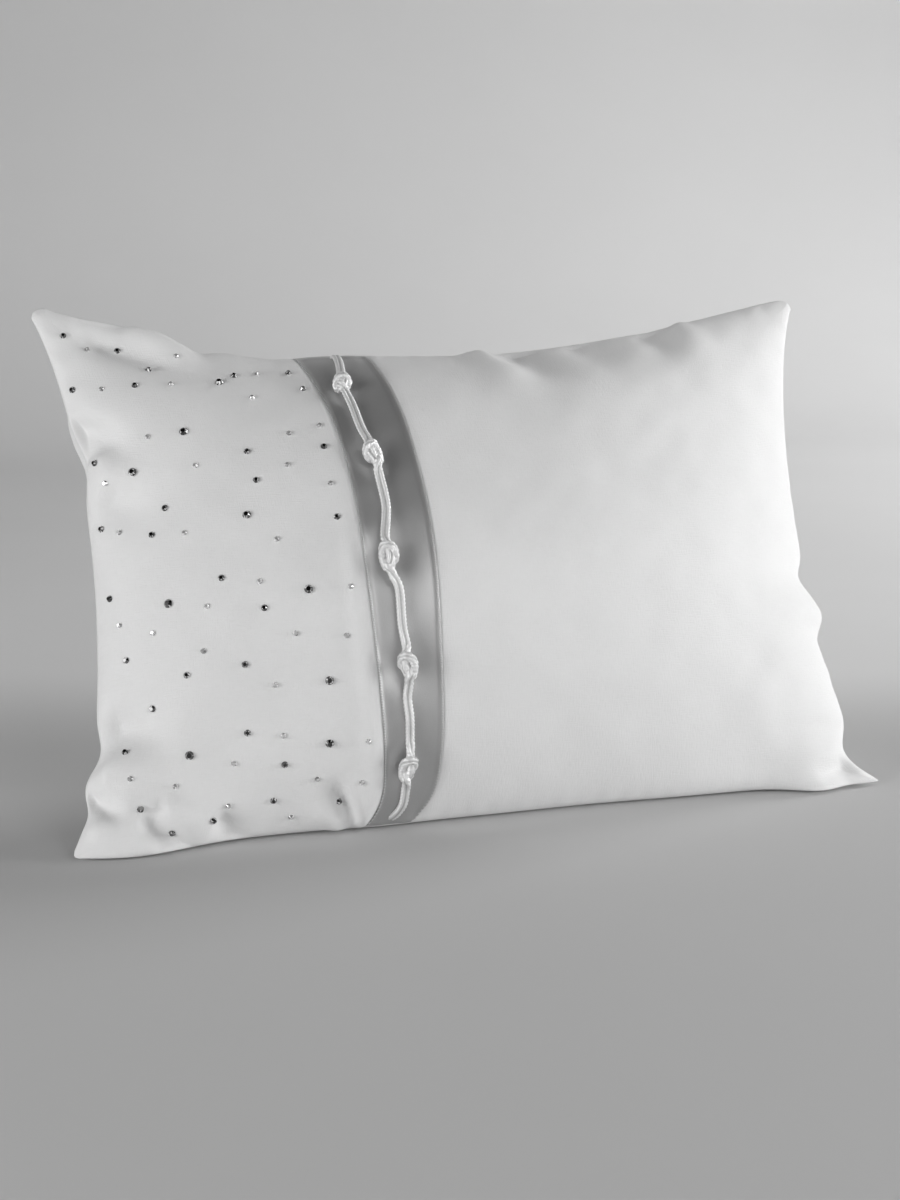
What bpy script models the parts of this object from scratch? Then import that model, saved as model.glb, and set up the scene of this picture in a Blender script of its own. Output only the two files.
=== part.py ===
"""Ring bearer pillow, standing on its long edge and leaning back.

Metres. +X runs along the pillow, the decorated front faces -Y and +Z is up. The origin is on the
ground, under the middle of the pillow.

The pillow is a front and a back panel that meet along a flat seam, round a soft filling. A place on
a panel has two shares: across, from -1 at the left seam to 1 at the right seam, and up, from -1 at
the bottom seam to 1 at the top seam.
"""

import math

import bmesh
import bpy
from mathutils import Vector

# Pillow
WIDTH = 0.305  # between the tips of the corners, along the seam
HEIGHT = 0.200  # between the tips of the corners, up the seam
LEAN = math.radians(25.3)
FRONT_CROWN = 0.047  # how far the middle of the front swells out from the seam
BACK_CROWN = 0.042
FRONT_FULLNESS = 0.75  # lower is plumper towards the seam
BACK_FULLNESS = 0.6
SIDE_PULL = 0.016  # how far the filling draws in the middle of each side
TOP_PULL = 0.020
SIDE_ROUNDNESS = 0.9
TOP_ROUNDNESS = 1.2
BELLY = 0.35  # how much fuller the lower back is than the middle
SEAM_TO_MIDDLE = 0.0350  # from the bottom seam back to the middle of the depth

# Foot, where the filling has slumped and the back lies flat on the ground
FOOT_DEPTH = 0.055
SLUMP = 0.028
SLUMP_HEIGHT = 0.070  # the back keeps its own shape above this
FOOT_ROUNDING = 0.004

# Layers
CLOTH = 0.0008
FILLING_CLEARANCE = 0.001
FILLING_INSET = 0.004  # from the seam to the edge of the filling
GAP = 0.0003  # between pieces that touch

# Ribbon
RIBBON_MIDDLE = -0.0385  # along X
RIBBON_WIDTH = 0.0254
RIBBON_THICKNESS = 0.0004
RIBBON_TOP_SWAY = 0.0065  # how much farther left its ends are than its middle
RIBBON_BOTTOM_SWAY = 0.0035
RIBBON_END = 0.97  # share of the way up and down at which it goes into the seams

# Braid, tied into knots
BRAID_WIDTH = 0.0032
BRAID_STEP = 0.007
KNOT_SIZE = (0.0078, 0.0092, 0.0066)  # across the ribbon, along it and off it
# Route from the top seam to the bottom seam: right of the ribbon's middle in millimetres, up in
# hundredths, clear height over the ribbon in millimetres, and whether a knot is tied there.
BRAID_ROUTE = (
    (1.0, 96, 0.6, False),
    (0.0, 91, 0.8, False),
    (-1.5, 85, 0.8, False),
    (-4.0, 76, 0.5, True),
    (-4.0, 65, 0.5, False),
    (-4.0, 52, 0.5, False),
    (-3.0, 40, 0.5, True),
    (-3.0, 30, 0.8, False),
    (-2.5, 17, 1.5, False),
    (-3.5, 5, 2.0, False),
    (-4.0, -4, 2.2, True),
    (-2.0, -15, 2.2, False),
    (-2.0, -30, 2.2, False),
    (-1.5, -46, 2.2, True),
    (-1.5, -54, 1.6, False),
    (0.5, -65, 1.0, False),
    (1.0, -76, 0.8, False),
    (0.5, -83, 0.5, True),
    (2.5, -89, 0.8, False),
    (1.0, -94, 0.8, False),
    (-0.5, -97, 0.6, False),
)

# Dark stones on the field left of the ribbon
LARGE_STONE = 0.0031
SMALL_STONE = 0.0024
STONE_DEPTH = 0.0012
STONE_TABLE = 0.55  # share of the stone's width that its flat top takes
STONE_SIDES = 8
# Places in hundredths of the way from the left seam to the ribbon, and from the bottom seam to the
# top seam.
LARGE_PLACES = (
    (62, 88), (41, 75), (18, 67), (58, 58), (78, 43), (26, 42), (84, 26), (84, 15), (34, 15),
)
SMALL_PLACES = (
    (8, 95), (28, 95), (92, 92), (69, 90), (36, 90), (94, 87), (28, 85), (4, 84),
    (93, 72), (63, 71), (5, 69), (64, 65), (28, 60), (92, 57), (4, 57), (22, 55),
    (46, 46), (5, 44), (61, 40), (10, 33), (53, 30), (32, 29), (19, 24), (54, 18),
    (10, 17), (68, 12), (18, 7), (65, 6), (44, 4), (89, 4), (31, 3),
)

# Mesh
COLUMNS = 32
ROWS = 22
RIBBON_COLUMNS = 4
ROUTE_SAMPLES = 40  # between two points of the braid's route


def clear_scene():
    for obj in list(bpy.data.objects):
        bpy.data.objects.remove(obj, do_unlink=True)


def make_material(name, color, roughness, metallic=0.0):
    material = bpy.data.materials.new(name)
    material.use_nodes = True
    shader = material.node_tree.nodes["Principled BSDF"]
    shader.inputs["Base Color"].default_value = (*color, 1.0)
    shader.inputs["Roughness"].default_value = roughness
    shader.inputs["Metallic"].default_value = metallic
    return material


def add_object(name, data, material, parent):
    data.materials.append(material)
    obj = bpy.data.objects.new(name, data)
    bpy.context.scene.collection.objects.link(obj)
    obj.parent = parent
    return obj


def smooth_step(share):
    share = min(max(share, 0.0), 1.0)
    return share * share * (3.0 - 2.0 * share)


def half_width(up, inset=0.0):
    """From the middle of the pillow to its side seam."""
    return WIDTH / 2 - inset - SIDE_PULL * (1.0 - up * up) ** SIDE_ROUNDNESS


def seam_height(across, inset=0.0):
    """From the bottom seam to the top seam."""
    return HEIGHT - 2 * inset - TOP_PULL * (1.0 - across * across) ** TOP_ROUNDNESS


def settle(y, z, floor):
    """The height of a point once the lower back has slumped and lies on the ground."""
    sunk = SLUMP * smooth_step(y / FOOT_DEPTH) * max(0.0, 1.0 - z / SLUMP_HEIGHT)
    above = z - sunk - floor
    if above <= -FOOT_ROUNDING:
        return floor
    if above < FOOT_ROUNDING:
        return floor + (above + FOOT_ROUNDING) ** 2 / (4 * FOOT_ROUNDING)
    return floor + above


def pillow_point(across, up, front, inset=0.0, depth=0.0, start=GAP / 2):
    """A point of a panel's outer face, or of a layer that lies depth under it."""
    swell = max(0.0, (1.0 - across * across) * (1.0 - up * up))
    along = across * half_width(up, inset)
    height = inset + (up + 1.0) / 2 * seam_height(across, inset)
    if front:
        out = start + (FRONT_CROWN - depth) * swell**FRONT_FULLNESS
    else:
        belly = 1.0 - BELLY * up
        out = -start - (BACK_CROWN - depth) * belly * swell**BACK_FULLNESS
    y = height * math.sin(LEAN) - out * math.cos(LEAN)
    z = height * math.cos(LEAN) + out * math.sin(LEAN)
    floor = depth * smooth_step(-out / FOOT_ROUNDING)
    return Vector((along, y, settle(y, z, floor)))


def front_normal(across, up):
    step = 0.002
    left = pillow_point(across - step, up, True)
    right = pillow_point(across + step, up, True)
    lower = pillow_point(across, up - step, True)
    upper = pillow_point(across, up + step, True)
    return (right - left).cross(upper - lower).normalized()


def on_front(x, up, off):
    """The point that is off the front face by this much, at x along the pillow."""
    across = x / half_width(up)
    return pillow_point(across, up, True) + off * front_normal(across, up)


def ribbon_middle(up):
    top = RIBBON_TOP_SWAY * max(up, 0.0) ** 2
    bottom = RIBBON_BOTTOM_SWAY * max(-up, 0.0) ** 8
    return RIBBON_MIDDLE - top - bottom


def bent_steps(count):
    """Shares from -1 to 1, closer together towards the ends, where the cloth turns fastest."""
    return [math.sin(math.pi * (index / count - 0.5)) for index in range(count + 1)]


def add_grid(mesh, points):
    """Faces through rows of points. It returns the rows of vertices."""
    rows = [[mesh.verts.new(point) for point in row] for row in points]
    for lower, upper in zip(rows, rows[1:]):
        for index in range(len(lower) - 1):
            mesh.faces.new((lower[index], lower[index + 1], upper[index + 1], upper[index]))
    return rows


def rim_of(rows):
    """The vertices round the edge of a grid, in order."""
    right = [row[-1] for row in rows[1:-1]]
    left = [row[0] for row in reversed(rows[1:-1])]
    return rows[0] + right + list(reversed(rows[-1])) + left


def join_rims(mesh, first, second):
    for index, vertex in enumerate(first):
        following = (index + 1) % len(first)
        mesh.faces.new((vertex, first[following], second[following], second[index]))


def finish_mesh(mesh, name):
    """Turns every face outwards and shades the mesh smooth."""
    bmesh.ops.recalc_face_normals(mesh, faces=mesh.faces)
    if mesh.calc_volume(signed=True) < 0:
        bmesh.ops.reverse_faces(mesh, faces=mesh.faces)
    data = bpy.data.meshes.new(name)
    mesh.to_mesh(data)
    mesh.free()
    data.shade_smooth()
    data.set_sharp_from_angle(angle=math.radians(50))
    return data


def layer_points(front, inset, depth, start):
    return [
        [pillow_point(across, up, front, inset, depth, start) for across in bent_steps(COLUMNS)]
        for up in bent_steps(ROWS)
    ]


def make_panel(name, front, material, parent):
    """A dished panel of cloth that ends flat along the seam."""
    mesh = bmesh.new()
    outer = add_grid(mesh, layer_points(front, 0.0, 0.0, GAP / 2))
    inner = add_grid(mesh, layer_points(front, CLOTH, CLOTH, GAP / 2))
    join_rims(mesh, rim_of(outer), rim_of(inner))
    return add_object(name, finish_mesh(mesh, name), material, parent)


def make_filling(material, parent):
    """The stuffing, whose front and back share one edge."""
    mesh = bmesh.new()
    depth = CLOTH + FILLING_CLEARANCE
    add_grid(mesh, layer_points(True, FILLING_INSET, depth, 0.0))
    add_grid(mesh, layer_points(False, FILLING_INSET, depth, 0.0))
    bmesh.ops.remove_doubles(mesh, verts=mesh.verts, dist=GAP / 10)
    return add_object("filling", finish_mesh(mesh, "filling"), material, parent)


def ribbon_points(off):
    rows = []
    for up in bent_steps(ROWS):
        up *= RIBBON_END
        left = ribbon_middle(up) - RIBBON_WIDTH / 2
        step = RIBBON_WIDTH / RIBBON_COLUMNS
        rows.append([on_front(left + step * index, up, off) for index in range(RIBBON_COLUMNS + 1)])
    return rows


def make_ribbon(material, parent):
    mesh = bmesh.new()
    outer = add_grid(mesh, ribbon_points(GAP + RIBBON_THICKNESS))
    inner = add_grid(mesh, ribbon_points(GAP))
    join_rims(mesh, rim_of(outer), rim_of(inner))
    return add_object("ribbon", finish_mesh(mesh, "ribbon"), material, parent)


def route_points():
    """The braid's route as points of its centre line, and which of them are knots."""
    points = []
    knots = []
    for right, up, clear, knotted in BRAID_ROUTE:
        share = up / 100
        thickness = KNOT_SIZE[2] if knotted else BRAID_WIDTH
        off = GAP + RIBBON_THICKNESS + clear / 1000 + thickness / 2
        points.append(on_front(ribbon_middle(share) + right / 1000, share, off))
        knots.append(knotted)
    return points, knots


def smooth_curve(points):
    """Close samples of a smooth curve through the points, with the index of each point's sample."""
    padded = [2 * points[0] - points[1], *points, 2 * points[-1] - points[-2]]
    samples = []
    for before, start, end, after in zip(padded, padded[1:], padded[2:], padded[3:]):
        for index in range(ROUTE_SAMPLES):
            t = index / ROUTE_SAMPLES
            bend = 2 * before - 5 * start + 4 * end - after
            twist = 3 * start - before - 3 * end + after
            samples.append(start + 0.5 * t * (end - before + t * (bend + t * twist)))
    samples.append(points[-1])
    return samples


def distances_along(samples):
    distances = [0.0]
    for start, end in zip(samples, samples[1:]):
        distances.append(distances[-1] + (end - start).length)
    return distances


def point_at(samples, distances, distance):
    for index in range(1, len(samples)):
        if distances[index] >= distance:
            span = distances[index] - distances[index - 1]
            share = (distance - distances[index - 1]) / span
            return samples[index - 1].lerp(samples[index], share)
    return samples[-1]


def make_braid_run(name, points, material, parent):
    curve = bpy.data.curves.new(name, "CURVE")
    curve.dimensions = "3D"
    curve.bevel_depth = BRAID_WIDTH / 2
    curve.bevel_resolution = 2
    curve.use_fill_caps = True
    spline = curve.splines.new("POLY")
    spline.points.add(len(points) - 1)
    for target, point in zip(spline.points, points):
        target.co = (*point, 1.0)
    return add_object(name, curve, material, parent)


def make_knot(name, place, along, material, parent):
    """The outer shape of a tied knot, with its long axis along the braid."""
    mesh = bmesh.new()
    bmesh.ops.create_uvsphere(mesh, u_segments=12, v_segments=8, radius=0.5)
    # The sphere's poles lie along the braid.
    bmesh.ops.scale(mesh, vec=(KNOT_SIZE[0], KNOT_SIZE[2], KNOT_SIZE[1]), verts=mesh.verts)
    knot = add_object(name, finish_mesh(mesh, name), material, parent)
    knot.location = place
    knot.rotation_euler = along.to_track_quat("Z", "Y").to_euler()
    return knot


def make_braid(material, parent):
    """Six runs of braid with five knots between them."""
    points, knots = route_points()
    samples = smooth_curve(points)
    distances = distances_along(samples)
    run_start = 0.0
    ends = [index for index, knotted in enumerate(knots) if knotted] + [None]
    for number, knot_index in enumerate(ends, start=1):
        reach = KNOT_SIZE[1] / 2 + GAP
        last = knot_index is None
        middle = distances[-1] if last else distances[knot_index * ROUTE_SAMPLES]
        run_end = middle if last else middle - reach
        count = max(2, round((run_end - run_start) / BRAID_STEP))
        step = (run_end - run_start) / count
        run = [point_at(samples, distances, run_start + step * index) for index in range(count + 1)]
        make_braid_run(f"braid_run_{number}", run, material, parent)
        if not last:
            place = points[knot_index]
            along = point_at(samples, distances, middle + reach) - place
            make_knot(f"braid_knot_{number}", place, along, material, parent)
            run_start = middle + reach


def stone_mesh(name, width):
    """A flat-backed stone: a ring of facets that slope up to a flat top."""
    mesh = bmesh.new()
    bmesh.ops.create_cone(
        mesh,
        cap_ends=True,
        segments=STONE_SIDES,
        radius1=width / 2,
        radius2=width / 2 * STONE_TABLE,
        depth=STONE_DEPTH,
    )
    bmesh.ops.translate(mesh, vec=(0, 0, STONE_DEPTH / 2), verts=mesh.verts)
    data = bpy.data.meshes.new(name)
    mesh.to_mesh(data)
    mesh.free()
    return data


def make_stones(material, parent):
    number = 0
    for width, places in ((LARGE_STONE, LARGE_PLACES), (SMALL_STONE, SMALL_PLACES)):
        data = stone_mesh("stone", width)
        for across_share, up_share in places:
            number += 1
            up = up_share / 50 - 1
            field = half_width(up) + ribbon_middle(up) - RIBBON_WIDTH / 2
            x = across_share / 100 * field - half_width(up)
            normal = front_normal(x / half_width(up), up)
            stone = bpy.data.objects.new(f"stone_{number:02d}", data)
            stone.location = on_front(x, up, GAP)
            stone.rotation_euler = normal.to_track_quat("Z", "Y").to_euler()
            stone.parent = parent
            bpy.context.scene.collection.objects.link(stone)
        data.materials.append(material)


def main():
    clear_scene()
    satin = make_material("white_satin", (0.86, 0.86, 0.85), 0.42)
    batting = make_material("filling", (0.92, 0.92, 0.90), 0.9)
    grey_satin = make_material("grey_satin", (0.22, 0.22, 0.22), 0.35)
    white_braid = make_material("white_braid", (0.88, 0.88, 0.87), 0.35)
    dark_crystal = make_material("dark_crystal", (0.05, 0.05, 0.055), 0.1)
    pillow = bpy.data.objects.new("pillow", None)
    pillow.location = (0, -SEAM_TO_MIDDLE, 0)
    bpy.context.scene.collection.objects.link(pillow)
    make_panel("front_panel", True, satin, pillow)
    make_panel("back_panel", False, satin, pillow)
    make_filling(batting, pillow)
    make_ribbon(grey_satin, pillow)
    make_braid(white_braid, pillow)
    make_stones(dark_crystal, pillow)


main()
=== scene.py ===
"""Looks of a ring bearer pillow: white satin, a grey satin ribbon, a knotted white braid and crystals."""

from math import cos, pi, radians, sin

import bpy
import numpy as np
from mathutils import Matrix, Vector


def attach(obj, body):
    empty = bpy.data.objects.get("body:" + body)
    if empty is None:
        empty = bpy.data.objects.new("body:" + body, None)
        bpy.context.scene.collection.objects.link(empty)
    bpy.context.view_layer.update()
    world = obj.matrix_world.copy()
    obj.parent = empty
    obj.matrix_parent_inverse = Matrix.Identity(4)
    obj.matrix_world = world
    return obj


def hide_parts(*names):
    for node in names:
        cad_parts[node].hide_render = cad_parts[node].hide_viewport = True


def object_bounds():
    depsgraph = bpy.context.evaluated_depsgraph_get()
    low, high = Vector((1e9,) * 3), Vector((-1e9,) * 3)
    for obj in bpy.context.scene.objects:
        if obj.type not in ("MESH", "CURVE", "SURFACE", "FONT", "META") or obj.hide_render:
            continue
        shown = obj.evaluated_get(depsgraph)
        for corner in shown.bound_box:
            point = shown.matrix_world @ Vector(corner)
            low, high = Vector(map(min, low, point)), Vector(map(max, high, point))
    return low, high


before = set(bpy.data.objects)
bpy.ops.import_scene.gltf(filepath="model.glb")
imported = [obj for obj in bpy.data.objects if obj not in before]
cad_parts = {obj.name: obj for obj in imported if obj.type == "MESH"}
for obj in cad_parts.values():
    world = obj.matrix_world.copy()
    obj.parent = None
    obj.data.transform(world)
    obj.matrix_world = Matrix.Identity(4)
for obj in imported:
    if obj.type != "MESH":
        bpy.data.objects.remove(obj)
cad_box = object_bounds()

MM = 0.001

# Pillow: the sizes of the CAD model, in metres, its width taken from the frame, and the lean of its
# seam plane from upright.
WIDTH = round(cad_box[1][0] - cad_box[0][0], 4)
HEIGHT = 0.200
LEAN = radians(25.3)
FRONT_CROWN = 0.047
BACK_CROWN = 0.042
FRONT_FULLNESS = 0.75
BACK_FULLNESS = 0.6
SIDE_ROUNDNESS = 0.9
BELLY = 0.35
SEAM_TO_MIDDLE = 0.0350
FOOT_DEPTH = 0.055
SLUMP = 0.028
SLUMP_HEIGHT = 0.070
FOOT_ROUNDING = 0.004

# How far the seam is pulled in at the middle of each side and of the top, in metres, and how round
# the curve of the top is on its left, on its right, and as if it were even.
LEFT_PULL = 0.0130
RIGHT_PULL = 0.0135
TOP_PULL = 0.020
LEFT_TOP_ROUNDNESS = 0.85
RIGHT_TOP_ROUNDNESS = 1.35
ROUNDNESS_TURN = 0.4
EVEN_ROUNDNESS = 1.2
CORNER_RADIUS = 0.0062
FOOT_CORNER_RADIUS = 0.0024
CORNER_REACH = 0.0024
CORNER_POWER = 8
SQUARE_CORNER = 0.965
# Where the side seams wave in and out: share of the height, spread, and how far out in metres.
LEFT_WAVES = ((0.40, 0.10, -0.0030), (-0.62, 0.08, -0.0024), (-0.74, 0.06, 0.0014), (-0.86, 0.05, -0.0014))
RIGHT_WAVES = (
    (-0.17, 0.06, -0.0032),
    (-0.31, 0.055, 0.0038),
    (-0.42, 0.05, -0.0012),
    (-0.88, 0.10, -0.0080),
    (-1.00, 0.04, 0.0014),
)
# Where the top seam dips, and where the bottom seam comes forward: place, spread and how far, in metres.
TOP_WAVES = (
    (-0.122, 0.018, 0.0018),
    (-0.094, 0.008, -0.0032),
    (-0.070, 0.020, -0.0036),
    (0.018, 0.006, -0.0008),
    (0.088, 0.008, -0.0005),
)
BOTTOM_WAVES = (
    (-0.135, 0.026, 0.0100),
    (-0.045, 0.016, 0.0015),
    (0.035, 0.030, -0.0015),
    (0.127, 0.014, 0.0085),
    (0.150, 0.010, 0.0036),
)
# How far up the waves of the bottom reach, in metres, and how quickly the others die out towards the
# middle of the cloth, as a power.
BOTTOM_WAVE_HEIGHT = 0.024
WAVE_FADE = 7

# Cloth: its thickness, how far the folded seam allowance lifts it beside a seam, how finely each cover
# is divided, and the step over which its slope is measured.
CLOTH = 0.0005
SEAM_ALLOWANCE = 0.0013
SEAM_ALLOWANCE_REACH = 0.0024
FRONT_GRID = (260, 190)
BACK_GRID = (173, 126)
SLOPE_STEP = 0.0015

# How a fold swells in from its start and dies out at its end, as shares of its length, and its flare.
FOLD_RISE = 0.25
FOLD_FALL_FROM = 0.35
FOLD_FALL = 0.7
FOLD_FLARE = 0.9
# Folds of each cover: start and end as metres right of the middle and share of the height,
# half width, and height in metres (below nought for a crease).
FRONT_FOLDS = (
    (-0.136, 0.92, -0.086, 0.78, 0.0055, -0.0048),
    (-0.120, 0.99, -0.095, 0.93, 0.0034, 0.0022),
    (-0.145, 0.53, -0.124, 0.45, 0.0042, -0.0040),
    (-0.138, 0.42, -0.128, 0.24, 0.0060, 0.0030),
    (-0.134, 0.26, -0.116, 0.16, 0.0060, -0.0022),
    (-0.141, -0.56, -0.116, -0.62, 0.0062, -0.0040),
    (-0.142, -0.72, -0.120, -0.76, 0.0070, 0.0026),
    (-0.149, -0.79, -0.135, -0.91, 0.0020, -0.0030),
    (-0.148, -0.90, -0.124, -0.87, 0.0032, 0.0018),
    (-0.131, -0.89, -0.113, -1.02, 0.0024, -0.0056),
    (-0.123, -0.85, -0.104, -0.97, 0.0040, 0.0024),
    (-0.105, -0.92, -0.094, -1.02, 0.0032, -0.0030),
    (0.012, 1.00, 0.024, 0.64, 0.0056, 0.0030),
    (0.026, 1.00, 0.046, 0.72, 0.0080, -0.0030),
    (0.052, 1.00, 0.068, 0.78, 0.0060, -0.0020),
    (0.084, 1.00, 0.096, 0.76, 0.0056, -0.0020),
    (0.100, 1.00, 0.106, 0.76, 0.0050, 0.0016),
    (0.147, -0.92, 0.116, -0.95, 0.0030, -0.0034),
    (0.099, -0.62, 0.114, -0.96, 0.0075, 0.0010),
    (-0.054, -1.00, -0.060, -0.80, 0.0020, 0.0034),
    (-0.054, -1.00, -0.068, -0.82, 0.0022, -0.0046),
    (-0.054, -1.00, -0.082, -0.90, 0.0024, 0.0020),
)
BACK_FOLDS = (
    (-0.142, 0.60, -0.140, 0.20, 0.0060, 0.0020),
    (-0.130, 0.60, -0.095, 0.40, 0.0060, -0.0036),
    (0.138, 0.30, 0.104, 0.20, 0.0050, -0.0032),
    (0.136, -0.10, 0.112, -0.20, 0.0050, 0.0018),
    (-0.062, 0.99, -0.048, 0.66, 0.0050, -0.0026),
    (-0.040, 0.99, -0.032, 0.72, 0.0040, 0.0016),
    (0.030, 0.99, 0.022, 0.70, 0.0042, -0.0022),
    (0.088, 0.99, 0.066, 0.66, 0.0056, -0.0028),
    (0.112, 0.99, 0.098, 0.74, 0.0044, 0.0016),
    (0.136, -0.72, 0.096, -0.52, 0.0054, -0.0034),
    (-0.138, -0.70, -0.100, -0.50, 0.0060, -0.0034),
)
# Puckers along the seams, and soft waves over the whole cloth: height, length and reach in metres, then
# the finer waves as shares of the soft ones, and how many waves are mixed and how their sizes vary.
PUCKER = 0.00022
PUCKER_LENGTH = 0.0085
PUCKER_PEAK = 0.003
PUCKER_REACH = 0.007
UNDULATION = 0.00045
UNDULATION_LENGTH = 0.060
UNDULATION_INSET = 0.012
FINE_UNDULATION = 0.25
FINE_LENGTH = 1 / 3.5
WAVE_COUNT = 14
WAVE_SIZES = (0.7, 1.6)
# Distances from a seam within which all relief, and that of the ribbon, fades out.
SEAM_FLAT = 0.0015
RIBBON_RELIEF_INSET = 0.004

# Filling: how far inside the covers it stays, as shares of the width and height and in metres.
STUFFING_WIDE = 0.95
STUFFING_HIGH = 0.94
STUFFING_DEEP = 0.0025
STUFFING_GRID = (72, 52)

# Ribbon, which lies in a shallow groove. The powers say how suddenly it bends and narrows at the bottom.
RIBBON_MIDDLE = -0.0385
RIBBON_TOP_SWAY = 0.0065
RIBBON_LOWER_LEAN = 0.0035
RIBBON_BOTTOM_SWAY = 0.0097
RIBBON_SWAY_POWER = 14
RIBBON_TOP_WIDTH = 0.0275
RIBBON_MIDDLE_WIDTH = 0.0252
RIBBON_LOWER_WIDTH = 0.0197
RIBBON_BOTTOM_WIDTH = 0.0172
RIBBON_TAPER_POWER = 1.2
RIBBON_GATHER_POWER = 12
RIBBON_THICKNESS = 0.00025
RIBBON_END = 0.992
RIBBON_TUCK = 0.02
RIBBON_LIFT = 0.0001
RIBBON_SLACK = 1.25
RIBBON_GRID = (40, 320)
GROOVE = 0.0012
GROOVE_EDGE = 0.0022
GROOVE_FOLD = 0.0016
GROOVE_FOLD_WIDTH = 0.0035
GROOVE_FOLD_TOP = 0.35
GROOVE_FOLD_FADE = 0.5
SELVEDGE = 0.0009
SELVEDGE_RISE = 0.00005
PICOT_PITCH = 0.0012
GAP = 0.0002

# Braid: two cords side by side, with a groove between them, plaited from threads.
BRAID_WIDTH = 0.0032
BRAID_DEPTH = 0.0019
BRAID_GROOVE = 0.42
BRAID_GROOVE_WIDTH = 0.26
PLAIT = 0.085
PLAIT_PITCH = 0.0014
THREAD_PITCH = 0.00035
THREAD_ROW = 0.00055
THREAD_SLANT = 1.1
BRAID_STEP = 0.00028
BRAID_SIDES = 24
# Over how many points to each side its facing is evened out, before and after flips are undone.
FACE_REACH = 5
FLIP_REACH = 4
# It goes into the seams at this share of the height, over the last stretch of it.
BRAID_END = 0.995
BRAID_TUCK = 0.04
# Knots: how far they stand up, how much of the route each takes the place of, and how much narrower
# and deeper the braid is in them. Each presses a dimple into the cloth.
KNOT_DEPTH = 0.0066
KNOT_REACH = 0.0095
KNOT_NARROWING = 0.08
KNOT_DEEPENING = 0.60
KNOT_DIMPLE = 0.0016
KNOT_DIMPLE_REACH = 0.008
KNOT_DIMPLE_STRETCH = 1.1
# Route: right of the ribbon's middle in mm, hundredths of the height, clear height over the ribbon
# in mm, and whether a knot is tied there.
BRAID_ROUTE = (
    (2.0, 100, 0.5, False),
    (1.0, 96, 0.6, False),
    (0.0, 91, 0.8, False),
    (-1.5, 85, 0.8, False),
    (-4.0, 76, 0.5, True),
    (-4.0, 65, 0.5, False),
    (-4.0, 52, 0.5, False),
    (-3.0, 40, 0.5, True),
    (-3.0, 30, 0.8, False),
    (-2.5, 17, 1.5, False),
    (-3.5, 5, 2.0, False),
    (-4.0, -4, 2.2, True),
    (-2.0, -15, 2.2, False),
    (-2.0, -30, 2.2, False),
    (-1.1, -44, 2.2, True),
    (-1.9, -56, 1.2, False),
    (-1.4, -63, 0.8, False),
    (-1.4, -71, 0.6, False),
    (-2.2, -80, 0.4, True),
    (-0.7, -93, 0.6, False),
    (-0.4, -97, 0.5, False),
    (0.5, -100, 0.4, False),
)
# One overhand knot, from its top end to its bottom end, in mm: right, up along the braid, and out.
# Within KNOT_INSIDE of its middle the flat of the braid faces away from the knot's middle line, and a
# point on that line counts as a hair outside it.
KNOT_INSIDE = 4.0
HAIR = 0.001
KNOT_PATH = (
    (0.0, 5.4, 0.0),
    (0.3, 3.8, 0.2),
    (1.0, 1.2, 0.9),
    (0.9, -0.8, 1.1),
    (0.0, -2.6, 0.3),
    (-1.8, -3.0, -0.6),
    (-3.0, -1.0, -0.6),
    (-2.6, 1.6, 0.4),
    (-0.4, 3.0, 2.0),
    (2.2, 2.4, 1.4),
    (2.9, 0.2, -0.4),
    (1.4, -1.0, -1.3),
    (-0.8, -1.2, -0.6),
    (-1.2, -2.6, 1.2),
    (-0.3, -3.9, 0.6),
    (0.0, -5.4, 0.0),
)
# Each knot: across scale, along scale, mirrored or not, and turn about the braid in degrees.
KNOT_LOOKS = (
    (0.78, 0.66, 1, 10),
    (0.76, 1.20, -1, -15),
    (0.78, 1.30, 1, 25),
    (0.74, 1.20, -1, 22),
    (0.66, 1.38, 1, -5),
)

# Crystals: how wide and how tall each kind is, then their cut, as shares of the radius or height.
LARGE_STONE = 0.0031
LARGE_STONE_RISE = 0.0013
SMALL_STONE = 0.0024
SMALL_STONE_RISE = 0.0011
CLEAR_STONE = 0.0020
CLEAR_STONE_RISE = 0.0010
STONE_SIDES = 8
GIRDLE_RISE = 0.25
TABLE = 0.55
BASE = 0.92
STONE_LEAN = 0.10
# How bright the painted glint or painted dark reflection on each side face of a stone may be, from 0 to 1;
# what stands twice is twice as common.
DARK_FACET_GLINTS = (0.0, 0.0, 0.05, 0.1, 0.35, 1.0)
CLEAR_FACET_GLINTS = (0.0, 0.3, 0.6, 1.0, 1.0)
# The highest a stone may sit, and the right edge of the field: from the middle, and its sway to the left.
HIGHEST_STONE = 0.985
FIELD_EDGE = -0.0511
FIELD_SWAY = 0.0077
# Places: hundredths across the field left of the ribbon, and up the height.
LARGE_PLACES = ((62, 88), (41, 75), (18, 67), (58, 58), (78, 43), (26, 42), (84, 26), (84, 15), (34, 15))
SMALL_PLACES = (
    ((8, 95), (28, 95), (92, 92), (69, 90), (36, 90), (94, 87), (28, 85), (4, 84))
    + ((93, 72), (63, 71), (5, 69), (64, 65), (28, 60), (92, 57), (4, 57), (22, 55))
    + ((46, 46), (5, 44), (61, 40), (10, 33), (53, 30), (32, 29), (19, 24), (54, 18))
    + ((10, 17), (68, 12), (18, 7), (65, 6), (44, 4), (89, 4), (31, 3))
)
CLEAR_PLACES = (
    ((50, 94), (15, 93), (79, 91), (42, 86), (15, 84), (72, 84), (94, 77), (81, 75), (27, 74))
    + ((42, 68), (77, 68), (8, 65), (92, 64), (10, 56), (34, 55), (68, 53), (60, 45), (94, 43))
    + ((40, 41), (8, 39), (20, 37), (72, 35), (91, 34), (38, 33), (64, 26), (67, 17), (98, 15))
    + ((50, 13), (15, 12), (30, 10), (80, 9), (96, 8), (49, 6), (72, 3))
)
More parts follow.
